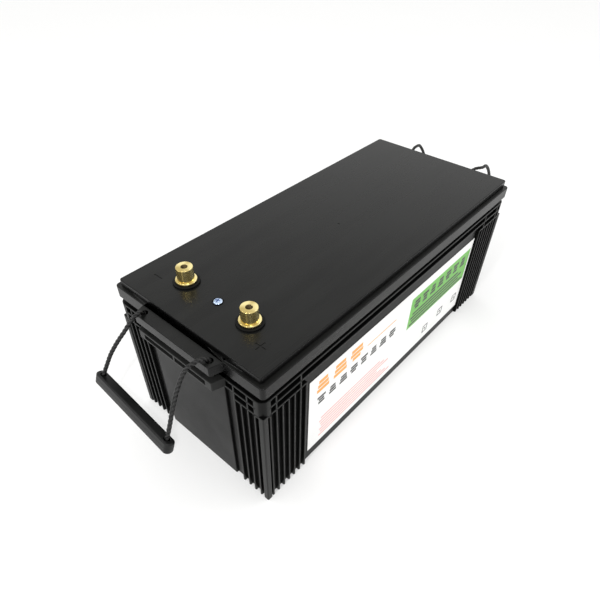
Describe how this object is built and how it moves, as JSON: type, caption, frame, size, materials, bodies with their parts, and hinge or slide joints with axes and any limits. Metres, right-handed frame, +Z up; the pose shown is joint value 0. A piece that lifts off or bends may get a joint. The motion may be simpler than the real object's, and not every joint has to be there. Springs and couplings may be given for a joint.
{
  "type": "battery pack",
  "caption": "Rope-handled rectangular battery pack with a ribbed plastic case, a raised glued lid, brass stud terminals at one end and a printed side label.",
  "frame": {"origin": "centre of the flat underside of the case", "axes": "+X along the length, away from the end that carries the terminals; +Y away from the label side; +Z up"},
  "size_m": [0.6895, 0.236, 0.235],
  "materials": {
    "case_plastic": "black ABS, fine satin grain",
    "lid_plastic": "black ABS, semi-gloss",
    "sealant": "cured black sealant",
    "label_film": "printed polypropylene film, satin",
    "brass": "machined brass",
    "rubber_seal": "moulded rubber",
    "zinc_screw": "blue zinc plate",
    "rope": "twisted black polypropylene rope",
    "grip_plastic": "moulded black plastic, satin",
    "cell_can": "aluminium can in blue film",
    "busbar": "nickel-plated copper",
    "aluminium_plate": "mill finish",
    "steel_strap": "galvanised band",
    "foam": "closed-cell foam",
    "fibreglass_board": "fibreglass board",
    "bms_housing": "black housing",
    "red_cable": "silicone cable",
    "black_cable": "silicone cable",
    "white_cable": "sense wires in sleeve"
  },
  "bodies": {
    "pack": {"case": "case_plastic", "lid": "lid_plastic", "lid_sealant_bead": "sealant", "label": "label_film", "terminal_positive": "brass", "terminal_negative": "brass", "terminal_positive_seal": "rubber_seal", "terminal_negative_seal": "rubber_seal", "terminal_positive_nut": "brass", "terminal_negative_nut": "brass", "centre_screw": "zinc_screw", "front_rope_anchor_left": "rope", "front_rope_anchor_right": "rope", "rear_rope_anchor_left": "rope", "rear_rope_anchor_right": "rope", "cell_1": "cell_can", "cell_2": "cell_can", "cell_3": "cell_can", "cell_4": "cell_can", "cell_5": "cell_can", "cell_6": "cell_can", "cell_7": "cell_can", "cell_8": "cell_can", "busbar_1": "busbar", "busbar_2": "busbar", "busbar_3": "busbar", "busbar_4": "busbar", "busbar_5": "busbar", "busbar_6": "busbar", "busbar_7": "busbar", "end_plate_front": "aluminium_plate", "end_plate_rear": "aluminium_plate", "steel_strap_lower": "steel_strap", "steel_strap_upper": "steel_strap", "bottom_pad": "foam", "end_foam_front": "foam", "end_foam_rear": "foam", "side_foam_left": "foam", "side_foam_right": "foam", "insulating_board": "fibreglass_board", "bms_unit": "bms_housing", "bms_bracket": "aluminium_plate", "positive_cable": "red_cable", "negative_cable": "black_cable", "bms_cable": "black_cable", "balance_harness": "white_cable"},
    "front_ropes": {"front_rope_leg_left": "rope", "front_rope_leg_right": "rope"},
    "front_grip": {"front_grip": "grip_plastic", "front_grip_knot_left": "rope", "front_grip_knot_right": "rope"},
    "rear_ropes": {"rear_rope_leg_left": "rope", "rear_rope_leg_right": "rope"},
    "rear_grip": {"rear_grip": "grip_plastic", "rear_grip_knot_left": "rope", "rear_grip_knot_right": "rope"}
  },
  "joints": [
    {"name": "front_rope_swing", "type": "hinge", "parent": "pack", "child": "front_ropes", "pos_m": [-0.283, 0, 0.2103], "axis": [0, 1, 0], "range_deg": [-38, 120]},
    {"name": "front_grip_tilt", "type": "hinge", "parent": "front_ropes", "child": "front_grip", "pos_m": [-0.3325, -0.0008, 0.1538], "axis": [0.0464, 0.9989, 0.0069], "range_deg": [-30, 30]},
    {"name": "rear_rope_swing", "type": "hinge", "parent": "pack", "child": "rear_ropes", "pos_m": [0.283, 0, 0.2103], "axis": [0, -1, 0], "range_deg": [-38, 120]},
    {"name": "rear_grip_tilt", "type": "hinge", "parent": "rear_ropes", "child": "rear_grip", "pos_m": [0.331, -0.00685, 0.153], "axis": [0.0687, -0.9976, 0], "range_deg": [-30, 30]}
  ]
}
